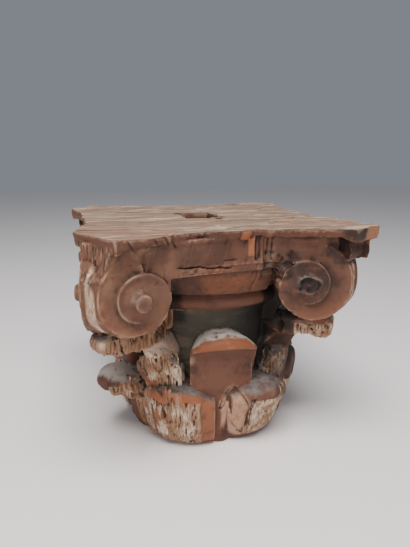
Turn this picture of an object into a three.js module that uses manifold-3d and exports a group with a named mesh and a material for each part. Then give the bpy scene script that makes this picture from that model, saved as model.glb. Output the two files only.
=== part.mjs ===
// A carved wooden corinthian capital, old and broken, in millimetres.
// +Z is up, the front faces -Y, and the origin is the centre of the underside.
// Azimuths are in degrees about Z: 0 is the front, 90 the right side, 180 the back.

import * as THREE from 'three';
import { mergeVertices } from 'three/addons/utils/BufferGeometryUtils.js';
import Module from 'manifold-3d';

const wasm = await Module();
wasm.setup();

// The whole block.
const HEIGHT = 334;
const BELL_CORE = 98;

// The bell: a plain basket under a turned lip.
const BELL_ROUND = 44;
const BELL = {
  foot: 112, waist: 107, neck: 114, neckTop: 212, fillet: 130, filletTop: 231,
  fascia: 140, fasciaFoot: 237, lip: 160, lipFoot: 270, lipTop: 277,
};

// The abacus: a slab with four horns, its moulding broken off along the front.
const SLAB = { whole: 21, broken: 13, bevel: 6, undercut: 3 };
const MOULDING = { foot: 286, inset: 14, cove: 5, fillet: 8, brokenInset: 26 };
const BAND = { foot: 274, top: 323, back: 24, bow: 0.935 };
const SIDE_STEPS = 14;
const SIDES = [
  { name: 'front', from: [-164, -220], to: [158, -204], sag: 37, broken: 1 },
  { name: 'right', from: [209, -175], to: [190, 166], sag: 24, broken: 0 },
  { name: 'back', from: [166, 211], to: [-172, 228], sag: 30, broken: 0 },
  { name: 'left', from: [-209, 176], to: [-209, -134], sag: 19, broken: 0.4 },
];
// Chips out of the slab's edge: the side, how far along it, half width, depth (minus stands proud).
const CHIPS = [
  { side: 'front', at: 0.14, half: 0.12, depth: -11 },
  { side: 'front', at: 0.36, half: 0.12, depth: 7 },
  { side: 'front', at: 0.6, half: 0.05, depth: 8 },
  { side: 'front', at: 0.82, half: 0.12, depth: -4 },
  { side: 'right', at: 0.2, half: 0.1, depth: -6 },
  { side: 'right', at: 0.4, half: 0.08, depth: 8 },
  { side: 'right', at: 0.72, half: 0.06, depth: 9 },
  { side: 'back', at: 0.3, half: 0.1, depth: 5 },
  { side: 'left', at: 0.73, half: 0.1, depth: 6 },
  { side: 'left', at: 0.45, half: 0.08, depth: -3 },
];
// The front left horn is snapped off: its broken face tapers from the slab's edge to the rim below.
const SNAPPED_HORN = {
  top: 322, foot: 282,
  topPlan: [[-166, -213], [-204, -137], [-140, -100], [-110, -150]],
  footPlan: [[-181, -199], [-198, -180], [-140, -100], [-110, -150]],
};
const MORTISE = { x: [-37, 20], y: [-24, 55], depth: 70 };

// The volutes: a pair on each diagonal, their faces turned towards the middle of each side.
const VOLUTE = {
  height: 252, turn: 12, strip: 25.5, hollow: 4, depth: 32,
  radius: 61.5, closing: 0.001494, step: 7, eye: 12, eyeProud: 8, eyeLost: -4, eyeTaper: 1,
  collar: 5, collarLift: 2,
  inner: 42, top: 324, root: 108, rootHalf: 30,
};
// The block under each pair follows the spiral between these turns, and then runs back into the bell.
const SPIRAL = { from: 24, to: 262, steps: 27, below: 80, halfWidth: 100 };
// A stalk under each pair carries it from the bell, leaning out as it climbs.
const STALK = { foot: 180, top: 262, half: 8, footReach: 122, topReach: 160 };
const COIL_STEPS = 24;
// lostEye is the face, 1 or -1, whose eye is broken out.
const CORNERS = [
  { azimuth: -45, reach: 276, outer: 54, swell: 0 },
  { azimuth: 45, reach: 247.5, outer: 65, swell: 0.2, lostEye: -1 },
  { azimuth: 135, reach: 252, outer: 59, swell: 0.1 },
  { azimuth: -135, reach: 262, outer: 57, swell: 0.05 },
];

// The leaves: each section is drawn in radius and height, and swept round the bell.
const LEAF_STEPS = 8;
const SECTIONS = {
  curled: [
    [BELL_CORE, 0], [BELL_CORE, 98], [124, 102], [150, 108], [170, 110], [186, 104], [194, 93],
    [191, 82], [183, 77], [178, 85], [168, 90], [154, 85], [146, 68], [139, 40], [132, 15], [124, 0],
  ],
  block: [
    [BELL_CORE, 0], [BELL_CORE, 99], [124, 100], [150, 98], [158, 91], [159, 62], [153, 35],
    [144, 12], [128, 0],
  ],
  rolled: [
    [BELL_CORE, 0], [BELL_CORE, 98], [124, 102], [148, 102], [164, 96], [171, 85], [167, 72],
    [157, 58], [149, 35], [139, 12], [125, 0],
  ],
  stump: [
    [BELL_CORE, 0], [BELL_CORE, 112], [128, 120], [152, 118], [156, 100], [151, 66], [142, 56],
    [137, 30], [125, 0],
  ],
};
// Two shallow flutes between the lobes of each lower leaf, fading in above its foot.
const FLUTE = { depth: 0.05, count: 2, from: 10, to: 60 };
const LOWER_LEAVES = [
  { azimuth: -31.7, half: 23.3, section: 'block', drop: 0.12, fall: 0.22 },
  { azimuth: 22.5, half: 21.5, section: 'rolled', drop: 0.16, fall: 0.34 },
  { azimuth: -74, half: 18.5, section: 'curled', drop: 0.22, fall: 0.5 },
  { azimuth: 66.5, half: 20, section: 'stump', drop: 0.3, fall: 0.4 },
  { azimuth: 110, half: 20.5, section: 'curled', drop: 0.22, fall: 0.5 },
  { azimuth: 154.5, half: 21, section: 'rolled', drop: 0.16, fall: 0.34 },
  { azimuth: -160.5, half: 21, section: 'curled', drop: 0.22, fall: 0.5 },
  { azimuth: -116, half: 21, section: 'block', drop: 0.12, fall: 0.25 },
];
const CORNER_SECTION = [
  [BELL_CORE, 55], [BELL_CORE, 176], [128, 186], [156, 200], [196, 208], [240, 208], [264, 202],
  [270, 190], [256, 181], [228, 181], [196, 174], [170, 159], [152, 136], [146, 108], [141, 80], [134, 58],
];
// How much of each corner leaf's tip is left: its length, its width on the right of the leaf's middle,
// and the height it is flattened at under the volutes. necks are how high its two edges take to narrow.
const CORNER_LEAVES = [
  { azimuth: -45, half: 16, tip: 0.94, rightTip: 0.36, necks: [178, 184], crest: 203 },
  { azimuth: 44, half: 13, tip: 0.6, rightTip: 1, necks: [156, 156], crest: 198 },
  { azimuth: 135, half: 15, tip: 0.85, rightTip: 0.8, necks: [160, 156], crest: 203 },
  { azimuth: -135, half: 15, tip: 0.9, rightTip: 1, necks: [156, 170], crest: 203 },
];
const CREST_LEFT = 0.25;
// Past the bend a corner leaf is thrown out: its stem narrows up to the bend, and the tip widens again.
const BEND = { radius: 150, tipRound: 0.46, tipDroop: 8, stemRound: 0.12 };
const NECK = { from: 122, width: 0.12, flare: 110 };
const TONGUE_SECTION = [
  [BELL_CORE, 62], [BELL_CORE, 177], [131, 177], [148, 171], [154, 160], [141, 155], [141, 96],
  [134, 76], [128, 62],
];
const TONGUE_FACE = 141;
// flare is how far the curled part of a tongue stands out past its right edge, as a share of its half width.
const TONGUES = [
  { azimuth: -4, half: 19.5, flare: 0.16 },
  { azimuth: 90, half: 18, flare: 0.05 },
  { azimuth: 180, half: 18, flare: 0.08 },
  { azimuth: -90, half: 18, flare: 0.05 },
];
const ARCH = { spring: 144, round: 0.9, fade: 6, curl: 157 };
const RIB = { radius: 133, top: 92, half: 6, edge: 5 };

const RAD = Math.PI / 180;

function polar(azimuth, radius, z) {
  return new THREE.Vector3(radius * Math.sin(azimuth * RAD), -radius * Math.cos(azimuth * RAD), z);
}

function smooth(edge0, edge1, x) {
  const t = Math.min(1, Math.max(0, (x - edge0) / (edge1 - edge0)));
  return t * t * (3 - 2 * t);
}

// A closed geometry from points and triangles, turned so that its faces point out.
function closedGeometry(points, triangles) {
  const corner = new THREE.Vector3();
  let volume = 0;
  for (const [a, b, c] of triangles) {
    volume += points[a].dot(corner.crossVectors(points[b], points[c]));
  }
  const index = triangles.flatMap(([a, b, c]) => (volume < 0 ? [a, c, b] : [a, b, c]));
  const geometry = new THREE.BufferGeometry();
  geometry.setAttribute('position', new THREE.Float32BufferAttribute(points.flatMap((p) => [p.x, p.y, p.z]), 3));
  geometry.setIndex(index);
  return geometry;
}

// Fills a flat outline with triangles that run the same way round as it does.
function capTriangles(outline) {
  const leftward = THREE.ShapeUtils.area(outline) > 0;
  return THREE.ShapeUtils.triangulateShape(outline, []).map(([a, b, c]) => {
    const same = (THREE.ShapeUtils.area([outline[a], outline[b], outline[c]]) > 0) === leftward;
    return same ? [a, b, c] : [a, c, b];
  });
}

// Joins equal rings of points into one closed skin. flatEnds gives each end's outline in two dimensions.
function loft(rings, flatEnds) {
  const count = rings[0].length;
  const points = rings.flat();
  const triangles = [];
  for (let ring = 0; ring + 1 < rings.length; ring += 1) {
    for (let i = 0; i < count; i += 1) {
      const next = (i + 1) % count;
      const a = ring * count + i;
      const b = ring * count + next;
      triangles.push([a, b, b + count], [a, b + count, a + count]);
    }
  }
  const last = (rings.length - 1) * count;
  for (const [a, b, c] of capTriangles(flatEnds[0])) {
    triangles.push([a, c, b]);
  }
  for (const [a, b, c] of capTriangles(flatEnds[1])) {
    triangles.push([last + a, last + b, last + c]);
  }
  return closedGeometry(points, triangles);
}

// Turns a closed geometry into a solid that can be joined and cut. A mirrored one is turned right side out.
function solid(geometry, mirrored = false) {
  const bare = geometry.clone();
  bare.deleteAttribute('normal');
  bare.deleteAttribute('uv');
  const merged = mergeVertices(bare, 1e-3);
  const triVerts = Uint32Array.from(merged.index.array);
  return new wasm.Manifold(new wasm.Mesh({
    numProp: 3,
    vertProperties: Float32Array.from(merged.attributes.position.array),
    triVerts: mirrored ? triVerts.reverse() : triVerts,
  }));
}

function bell() {
  const { foot, waist, neck, neckTop, fillet, filletTop, fascia, fasciaFoot, lip, lipFoot, lipTop } = BELL;
  const profile = [
    [0, 0], [foot, 0], [waist, 60], [waist, 120], [neck - 4, 170], [neck, 200], [fillet - 5, neckTop],
    [fillet, neckTop + 5], [fillet + 1, filletTop], [fascia, fasciaFoot], [lip - 3, lipFoot - 6],
    [lip, lipFoot], [lip - 1, lipTop], [0, lipTop],
  ];
  const turned = new THREE.LatheGeometry(profile.map(([r, z]) => new THREE.Vector2(r, z)), BELL_ROUND);
  turned.rotateX(Math.PI / 2);
  return solid(turned);
}

// The slab's outline: one concave run along each side, with its chips, and a blunt horn between runs.
function abacusOutline() {
  return SIDES.flatMap(({ name, from, to, sag, broken }) => {
    const start = new THREE.Vector2(...from);
    const run = new THREE.Vector2(...to).sub(start);
    const inward = new THREE.Vector2(-run.y, run.x).normalize();
    return Array.from({ length: SIDE_STEPS + 1 }, (_, i) => {
      const t = i / SIDE_STEPS;
      let depth = sag * (1 - (2 * t - 1) ** 2);
      for (const chip of CHIPS.filter(({ side }) => side === name)) {
        depth += chip.depth * (1 - smooth(0, chip.half, Math.abs(t - chip.at)));
      }
      const point = start.clone().addScaledVector(run, t).addScaledVector(inward, depth);
      return { point, broken: broken * smooth(0, 0.08, t) * smooth(0, 0.08, 1 - t) };
    });
  });
}

// Moves an outline inwards, each point along the bisector of its two edges.
function insetOutline(outline, distance) {
  return outline.map(({ point, broken }, i) => {
    const before = outline[(i + outline.length - 1) % outline.length].point;
    const after = outline[(i + 1) % outline.length].point;
    const along = after.clone().sub(before).normalize();
    const inward = new THREE.Vector2(-along.y, along.x);
    return { point: point.clone().addScaledVector(inward, distance(broken)), broken };
  });
}

// Stacks outlines with heights of their own into one block.
function stack(levels) {
  const rings = levels.map(({ outline, z }) => outline.map(({ point, broken }) => (
    new THREE.Vector3(point.x, point.y, z(broken)))));
  const ends = [levels[0], levels[levels.length - 1]].map(({ outline }) => outline.map(({ point }) => point));
  return solid(loft(rings, ends));
}

function abacus() {
  const top = abacusOutline();
  const slabFoot = (broken) => HEIGHT - THREE.MathUtils.lerp(SLAB.whole, SLAB.broken, broken);
  const slab = stack([
    { outline: insetOutline(top, (broken) => THREE.MathUtils.lerp(SLAB.undercut, SLAB.bevel, broken)), z: slabFoot },
    { outline: top, z: () => HEIGHT },
  ]);
  const set = (extra) => (broken) => MOULDING.inset + extra + MOULDING.brokenInset * broken;
  const moulding = stack([
    { outline: insetOutline(top, set(MOULDING.cove)), z: () => MOULDING.foot },
    { outline: insetOutline(top, set(0)), z: () => MOULDING.foot + MOULDING.fillet },
    { outline: insetOutline(top, set(1)), z: () => HEIGHT - SLAB.broken },
  ]);
  return slab.add(moulding).add(band()).add(snappedHorn());
}

function snappedHorn() {
  const { top, foot, topPlan, footPlan } = SNAPPED_HORN;
  const levels = [[footPlan, foot], [topPlan, top]];
  return solid(loft(
    levels.map(([plan, z]) => plan.map(([x, y]) => new THREE.Vector3(x, y, z))),
    levels.map(([plan]) => plan.map(([x, y]) => new THREE.Vector2(x, y))),
  ));
}

// A corner's own frame: out along the diagonal, across it, and up.
function cornerFrame({ azimuth }) {
  const out = polar(azimuth, 1, 0);
  const across = polar(azimuth + 90, 1, 0);
  return (rho, side, z) => new THREE.Vector3(0, 0, z).addScaledVector(out, rho).addScaledVector(across, side);
}

// How the face plane of a volute runs: rim, middle and inner edge, as distances out and across.
function facePlane({ reach, outer }) {
  const slope = (45 - VOLUTE.turn) * RAD;
  const along = (distance) => [reach - distance * Math.cos(slope), VOLUTE.strip / 2 + distance * Math.sin(slope)];
  return {
    slope, rim: along(0), horn: along(BAND.back), middle: along(outer), inner: along(outer + VOLUTE.inner),
  };
}

// The plain band between the volutes, flush with their outer coils.
function band() {
  const outline = CORNERS.flatMap((corner, i) => {
    const next = CORNERS[(i + 1) % CORNERS.length];
    const here = cornerFrame(corner);
    const there = cornerFrame(next);
    const flat = (v) => new THREE.Vector2(v.x, v.y);
    const a = facePlane(corner);
    const b = facePlane(next);
    const rim = flat(here(...a.horn, 0));
    const inner = flat(here(...a.inner, 0));
    const nextInner = flat(there(b.inner[0], -b.inner[1], 0));
    const nextRim = flat(there(b.horn[0], -b.horn[1], 0));
    const middle = inner.clone().add(nextInner).multiplyScalar(BAND.bow / 2);
    const curve = new THREE.QuadraticBezierCurve(inner, middle, nextInner);
    return [rim, ...curve.getPoints(10), nextRim];
  });
  const shape = new THREE.Shape(outline);
  const block = new THREE.ExtrudeGeometry(shape, { depth: BAND.top - BAND.foot, bevelEnabled: false });
  return solid(block.translate(0, 0, BAND.foot));
}

// The spiral's radius after a turn in degrees, from straight up and out towards the horn.
function coilRadius(angle, swell) {
  const bulge = angle > 10 && angle < 210 ? swell * Math.sin((angle - 10) / 200 * Math.PI) : 0;
  return VOLUTE.radius * Math.exp(-VOLUTE.closing * angle) * (1 + bulge);
}

// The edge of the raised inner coil, which runs into the outer coil at its foot.
function innerCoilRadius(angle) {
  const second = coilRadius(angle + 360, 0);
  const first = coilRadius(angle, 0);
  return THREE.MathUtils.lerp(second, first, smooth(185, 275, angle));
}

function coilStep(angle) {
  return VOLUTE.step * (1 - smooth(120, 215, angle) * (1 - smooth(215, 300, angle)));
}

// The raised inner coil and the eye, as a disc with its rings drawn by the spiral.
function innerCoil(eyeProud) {
  const { step, eye, eyeTaper, collar, collarLift, depth } = VOLUTE;
  const ring = (radius, proud) => Array.from({ length: COIL_STEPS }, (_, i) => {
    const angle = i * 360 / COIL_STEPS;
    const r = radius(angle);
    return new THREE.Vector3(r * Math.sin(angle * RAD), -proud(angle), r * Math.cos(angle * RAD));
  });
  const rings = [
    ring(innerCoilRadius, () => -depth / 2),
    ring(innerCoilRadius, coilStep),
    ring(() => eye + collar, () => step),
    ring(() => eye, () => step + collarLift),
    ring(() => eye - eyeTaper, () => step + eyeProud),
  ];
  const ends = [rings[0], rings[rings.length - 1]].map((r) => r.map(({ x, z }) => new THREE.Vector2(x, z)));
  return loft(rings, ends);
}

function stalk() {
  const { foot, top, half, footReach, topReach } = STALK;
  const plan = (reach) => [[BELL_CORE, -half], [reach, -half], [reach, half], [BELL_CORE, half]];
  const ends = [plan(footReach), plan(topReach)];
  return solid(loft(
    ends.map((end, level) => end.map(([rho, side]) => new THREE.Vector3(rho, side, level ? top : foot))),
    ends.map((end) => end.map(([x, y]) => new THREE.Vector2(x, y))),
  ));
}

// One corner's pair of volutes: a wedge with the spiral's outline, and an inner coil on each face.
function volutePair(corner) {
  const place = cornerFrame(corner);
  const { slope, rim, middle, inner } = facePlane(corner);
  const { height, hollow, depth, top, root, rootHalf } = VOLUTE;
  const back = [inner[0] - depth * Math.sin(slope), inner[1] - depth * Math.cos(slope)];
  const half = [rim, inner, back, [root, rootHalf]];
  const plan = [[rim[0] - hollow, 0], ...half, ...half.map(([rho, side]) => [rho, -side]).reverse()];
  const floor = height - SPIRAL.below;
  const wedge = loft(
    [floor, top].map((z) => plan.map(([rho, side]) => new THREE.Vector3(rho, side, z))),
    [plan, plan].map((end) => end.map(([x, y]) => new THREE.Vector2(x, y))),
  );
  const scale = Math.cos(slope) * corner.outer / (coilRadius(90, corner.swell));
  const outline = [];
  for (let i = 0; i <= SPIRAL.steps; i += 1) {
    const angle = THREE.MathUtils.lerp(SPIRAL.from, SPIRAL.to, i / SPIRAL.steps);
    const r = coilRadius(angle, corner.swell);
    const squeeze = angle < 180 ? scale : Math.cos(slope);
    outline.push([middle[0] + r * Math.sin(angle * RAD) * squeeze, height + r * Math.cos(angle * RAD)]);
  }
  outline.push([root, outline[outline.length - 1][1]], [root, top - 1], [outline[0][0], top - 1]);
  const swept = loft(
    [-SPIRAL.halfWidth, SPIRAL.halfWidth].map((side) => outline.map(([rho, z]) => new THREE.Vector3(rho, side, z))),
    [outline, outline].map((end) => end.map(([x, y]) => new THREE.Vector2(x, y))),
  );
  let pair = solid(wedge).intersect(solid(swept));
  pair = pair.add(stalk());
  const up = new THREE.Vector3(0, 0, 1);
  for (const side of [1, -1]) {
    const out = new THREE.Vector3(Math.cos(slope), -Math.sin(slope) * side, 0);
    const inward = new THREE.Vector3(-Math.sin(slope), -Math.cos(slope) * side, 0);
    const face = new THREE.Matrix4().makeBasis(out, inward, up);
    face.setPosition(middle[0], middle[1] * side, height);
    const coil = innerCoil(corner.lostEye === side ? VOLUTE.eyeLost : VOLUTE.eyeProud);
    pair = pair.add(solid(coil.applyMatrix4(face), face.determinant() < 0));
  }
  const frame = new THREE.Matrix4().makeBasis(place(1, 0, 0), place(0, 1, 0), up);
  return pair.transform(frame.toArray());
}

// Sweeps a section round the bell. shape moves each of its points for the place across the leaf, -1 to 1,
// and may draw it in towards the middle of the leaf.
function sweptLeaf({ azimuth, half, section, steps = LEAF_STEPS }, shape) {
  const flat = [];
  const rings = Array.from({ length: steps + 1 }, (_, i) => {
    const across = -1 + 2 * i / steps;
    const points = section.map(([r, z]) => shape(r, z, across));
    flat.push(points.map(([r, z]) => new THREE.Vector2(r, z)));
    return points.map(([r, z, width = 1]) => polar(azimuth + half * width * across, r, z));
  });
  return solid(loft(rings, [flat[0], flat[steps]]));
}

// A lower leaf: its tip draws back and drops towards the edges.
function lowerLeaf({ azimuth, half, section, drop, fall }) {
  return sweptLeaf({ azimuth, half, section: SECTIONS[section] }, (r, z, across) => {
    const wave = (1 - Math.cos(FLUTE.count * 2 * Math.PI * across)) / 2;
    const flute = 1 - FLUTE.depth * wave * smooth(FLUTE.from, FLUTE.to, z);
    const reach = (1 - fall * across * across) * flute;
    return [BELL_CORE + (r - BELL_CORE) * reach, z * (1 - drop * across * across)];
  });
}

// A corner leaf: a stem up the bell, then a broken tip thrown out under the volutes.
function cornerLeaf({ azimuth, half, tip, rightTip, necks, crest }) {
  const { radius, tipRound, tipDroop, stemRound } = BEND;
  return sweptLeaf({ azimuth, half, section: CORNER_SECTION }, (r, z, across) => {
    const thrown = r > radius;
    const cut = thrown ? radius + (r - radius) * tip : r;
    const edge = 1 - (thrown ? tipRound : stemRound) * across * across;
    const narrowing = smooth(NECK.from, across > 0 ? necks[1] : necks[0], z);
    const stemWidth = THREE.MathUtils.lerp(1, NECK.width, narrowing);
    const tipWidth = Math.min(across > 0 ? rightTip : 1, NECK.width + (r - radius) / NECK.flare);
    const droop = thrown ? tipDroop * across * across : 0;
    const flattened = z > crest ? crest + (z - crest) * CREST_LEFT : z;
    return [BELL_CORE + (cut - BELL_CORE) * edge, flattened - droop, Math.max(stemWidth, tipWidth)];
  });
}

// A tongue leaf between two corners: arched, with its curled tip snapped off.
function tongueLeaf(leaf) {
  return sweptLeaf({ ...leaf, section: TONGUE_SECTION }, (r, z, across) => {
    const arch = Math.sqrt(Math.max(0, 1 - ARCH.round * across * across));
    const height = z > ARCH.spring ? ARCH.spring + (z - ARCH.spring) * arch : z;
    const proud = r > TONGUE_FACE ? TONGUE_FACE + (r - TONGUE_FACE) * (1 - across ** ARCH.fade) : r;
    const width = z > ARCH.curl && across > 0 ? 1 + leaf.flare : 1;
    return [proud, height, width];
  });
}

// The rib that runs down from a tongue between two lower leaves.
function rib({ azimuth }) {
  const { radius, top, half, edge } = RIB;
  const section = [[BELL_CORE, 0], [BELL_CORE, top], [radius + 6, top], [radius, 50], [radius - 6, 0]];
  return sweptLeaf({ azimuth, half, section, steps: 2 }, (r, z, across) => [r - edge * across ** 2, z]);
}

function mortise() {
  const [x0, x1] = MORTISE.x;
  const [y0, y1] = MORTISE.y;
  const box = new THREE.BoxGeometry(x1 - x0, y1 - y0, MORTISE.depth * 2);
  return solid(box.translate((x0 + x1) / 2, (y0 + y1) / 2, HEIGHT));
}

const carving = [
  abacus(),
  ...CORNERS.map(volutePair),
  ...LOWER_LEAVES.map(lowerLeaf),
  ...CORNER_LEAVES.map(cornerLeaf),
  ...TONGUES.map(tongueLeaf),
  ...TONGUES.map(rib),
].reduce((whole, piece) => whole.add(piece), bell()).subtract(mortise());

const { vertProperties, triVerts } = carving.getMesh();
const geometry = new THREE.BufferGeometry();
geometry.setAttribute('position', new THREE.BufferAttribute(vertProperties, 3));
geometry.setIndex(new THREE.BufferAttribute(triVerts, 1));
const wood = new THREE.MeshStandardMaterial({ color: 0x8a6754, roughness: 0.85, metalness: 0 });
const capital = new THREE.Mesh(geometry, wood);
capital.name = 'capital';

const model = new THREE.Group();
model.add(capital);

export default model;
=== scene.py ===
import math

import bmesh
import bpy
import numpy as np
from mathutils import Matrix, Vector


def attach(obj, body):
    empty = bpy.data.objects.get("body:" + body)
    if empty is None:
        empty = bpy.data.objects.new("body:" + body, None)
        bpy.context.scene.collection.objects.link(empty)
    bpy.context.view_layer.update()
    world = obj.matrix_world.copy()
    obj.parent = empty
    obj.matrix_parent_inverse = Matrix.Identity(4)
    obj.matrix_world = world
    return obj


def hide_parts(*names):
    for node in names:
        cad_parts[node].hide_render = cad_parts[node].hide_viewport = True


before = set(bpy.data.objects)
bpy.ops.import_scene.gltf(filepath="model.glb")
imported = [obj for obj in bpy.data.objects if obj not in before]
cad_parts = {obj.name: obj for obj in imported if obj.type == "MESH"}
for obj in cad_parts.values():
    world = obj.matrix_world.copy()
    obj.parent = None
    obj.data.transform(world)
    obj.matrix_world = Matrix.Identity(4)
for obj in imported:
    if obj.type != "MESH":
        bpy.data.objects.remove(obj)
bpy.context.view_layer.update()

# The camera stands a little left of the front and looks slightly down.
camera = bpy.data.objects.new("camera", bpy.data.cameras.new("camera"))
camera.data.lens = 32.9
camera.location = (-0.2095, -0.7856, 0.424)
camera.rotation_euler = (math.radians(77), 0, math.radians(-15))
bpy.context.scene.collection.objects.link(camera)
bpy.context.scene.camera = camera

# The bell is the basket in the middle: a plain neck under two turned mouldings, the upper one the lip.
# It is pine, turned from glued blocks, and every other carving grows out of it.
MM = 0.001
HEIGHT = 334
BELL_CORE = 98
BELL_ROUND = 240
BELL_PROFILE = [
    (112, 0), (107, 60), (107, 120), (110, 170), (114, 203), (122, 212), (130, 215), (133, 222),
    (131, 230), (127, 233), (128, 236), (139, 237), (147, 250), (157, 263), (160, 271), (157, 277),
]


def smooth(low, high, value):
    t = np.clip((value - low) / (high - low), 0, 1)
    return t * t * (3 - 2 * t)


def within(value, low, high, soft):
    """1 between low and high, fading to 0 over the soft distance outside them."""
    return smooth(low - soft, low, value) * (1 - smooth(high, high + soft, value))


def polar(azimuth, radius, z):
    turn = np.radians(azimuth)
    parts = np.broadcast_arrays(radius * np.sin(turn), -radius * np.cos(turn), z)
    return np.stack(parts, axis=-1)


def rounded(corners, radius, spacing=2.0):
    """A line through the corners with each one eased by the radius, as points at even spacing."""
    corners = np.array(corners, float)
    path = [corners[0]]
    for before, corner, after in zip(corners, corners[1:], corners[2:]):
        back, on = before - corner, after - corner
        start, end = [
            corner + leg * min(radius, np.linalg.norm(leg) / 2) / max(np.linalg.norm(leg), 1e-9)
            for leg in (back, on)
        ]
        for t in np.linspace(0, 1, 7):
            path.append(start * (1 - t) ** 2 + corner * 2 * t * (1 - t) + end * t**2)
    path = np.array(path + [corners[-1]])
    along = np.r_[0, np.cumsum(np.linalg.norm(np.diff(path, axis=0), axis=1))]
    even = np.linspace(0, along[-1], int(along[-1] / spacing) + 2)
    return np.stack([np.interp(even, along, path[:, i]) for i in range(2)], axis=-1)


def shell(name, points, faces):
    """A closed mesh from points in millimetres, with its faces turned out."""
    mesh = bpy.data.meshes.new(name)
    mesh.from_pydata((np.asarray(points) * MM).tolist(), [], faces)
    work = bmesh.new()
    work.from_mesh(mesh)
    bmesh.ops.recalc_face_normals(work, faces=work.faces)
    work.to_mesh(mesh)
    work.free()
    piece = bpy.data.objects.new(name, mesh)
    bpy.context.scene.collection.objects.link(piece)
    return piece


def lofted(name, rings):
    """A closed mesh through equal rings of points, its first and last rings filled."""
    rings = np.asarray(rings)
    rows, count = rings.shape[:2]
    ring = np.arange(count)
    level = (np.arange(rows - 1) * count)[:, None]
    here, beside = level + ring, level + (ring + 1) % count
    sides = np.stack([here, beside, beside + count, here + count], axis=-1).reshape(-1, 4)
    ends = [ring[::-1].tolist(), (ring + (rows - 1) * count).tolist()]
    return shell(name, rings.reshape(-1, 3), sides.tolist() + ends)


carving = []
turned = rounded(BELL_PROFILE, 3, 2.5)
around = np.linspace(0, 360, BELL_ROUND, endpoint=False)
carving.append(lofted("bell", [polar(around, r, z) for r, z in turned]))

# The abacus is the slab on top with its four horns. Its moulding is broken away along the front,
# where only a ragged edge and the plain band between the volutes are left.
SLAB = {"whole": 21, "broken": 13, "bevel": 6, "undercut": 3}
MOULDING = {"foot": 286, "inset": 14, "cove": 5, "broken_inset": 26}
BAND = {"foot": 274, "top": 323, "back": 24, "bow": 0.935}
SIDES = [
    {"name": "front", "from": (-164, -220), "to": (158, -204), "sag": 37, "broken": 1},
    {"name": "right", "from": (209, -175), "to": (190, 166), "sag": 24, "broken": 0},
    {"name": "back", "from": (166, 211), "to": (-172, 228), "sag": 30, "broken": 0},
    {"name": "left", "from": (-209, 176), "to": (-209, -134), "sag": 19, "broken": 0.4},
]
# The chips out of the slab's edge: the side, how far along it, half width, depth (minus stands proud).
CHIPS = [
    ("front", 0.14, 0.12, -11), ("front", 0.36, 0.12, 7), ("front", 0.6, 0.05, 8), ("front", 0.82, 0.12, -4),
    ("right", 0.2, 0.1, -6), ("right", 0.4, 0.08, 8), ("right", 0.72, 0.06, 9), ("back", 0.3, 0.1, 5),
    ("left", 0.73, 0.1, 6), ("left", 0.45, 0.08, -3),
]
SNAPPED_HORN = {
    "top": 322, "foot": 282,
    "top_plan": [(-166, -213), (-204, -137), (-140, -100), (-110, -150)],
    "foot_plan": [(-181, -199), (-198, -180), (-140, -100), (-110, -150)],
}
SIDE_POINTS = 90


def abacus_outline():
    points, broken = [], []
    for side in SIDES:
        start, end = np.array(side["from"], float), np.array(side["to"], float)
        run = end - start
        inward = np.array([-run[1], run[0]]) / np.linalg.norm(run)
        t = np.linspace(0, 1, SIDE_POINTS)
        depth = side["sag"] * (1 - (2 * t - 1) ** 2)
        for name, at, half, deep in CHIPS:
            if name == side["name"]:
                depth = depth + deep * (1 - smooth(0, half, np.abs(t - at)))
        points.append(start + np.outer(t, run) + np.outer(depth, inward))
        broken.append(side["broken"] * smooth(0, 0.08, t) * smooth(0, 0.08, 1 - t))
    return np.concatenate(points), np.concatenate(broken)


def inset(outline, distance):
    along = np.roll(outline, -1, axis=0) - np.roll(outline, 1, axis=0)
    along /= np.linalg.norm(along, axis=1)[:, None]
    inward = np.stack([-along[:, 1], along[:, 0]], axis=-1)
    return outline + inward * np.broadcast_to(distance, len(outline))[:, None]


def at_height(outline, z):
    return np.column_stack([outline, np.broadcast_to(z, len(outline))])


edge, broken = abacus_outline()
slab_foot = HEIGHT - (SLAB["whole"] + (SLAB["broken"] - SLAB["whole"]) * broken)
undercut = SLAB["undercut"] + (SLAB["bevel"] - SLAB["undercut"]) * broken
carving.append(lofted("slab", [
    at_height(inset(edge, undercut + 1.5), slab_foot),
    at_height(inset(edge, undercut), slab_foot + 1.5),
    at_height(inset(edge, 0), HEIGHT - 5),
    at_height(inset(edge, 0), HEIGHT - 1.5),
    at_height(inset(edge, 1.5), HEIGHT),
]))
# The moulding is gone behind the snapped horn too, where the outline starts and ends.
from_horn = np.minimum(np.arange(len(edge)), np.arange(len(edge))[::-1])
set_back = MOULDING["inset"] + MOULDING["broken_inset"] * np.maximum(broken, 1 - smooth(7, 10, from_horn))
moulding_profile = [
    (MOULDING["cove"] + 1, MOULDING["foot"]), (MOULDING["cove"] - 1, 287), (1, 293), (0, 297), (1, 304),
    (1, 321),
]
carving.append(lofted("moulding", [
    at_height(inset(edge, set_back + extra), z) for extra, z in moulding_profile
]))
carving.append(lofted("snapped_horn", [
    [(x, y, SNAPPED_HORN[level]) for x, y in SNAPPED_HORN[level + "_plan"]] for level in ("foot", "top")
]))

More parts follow.
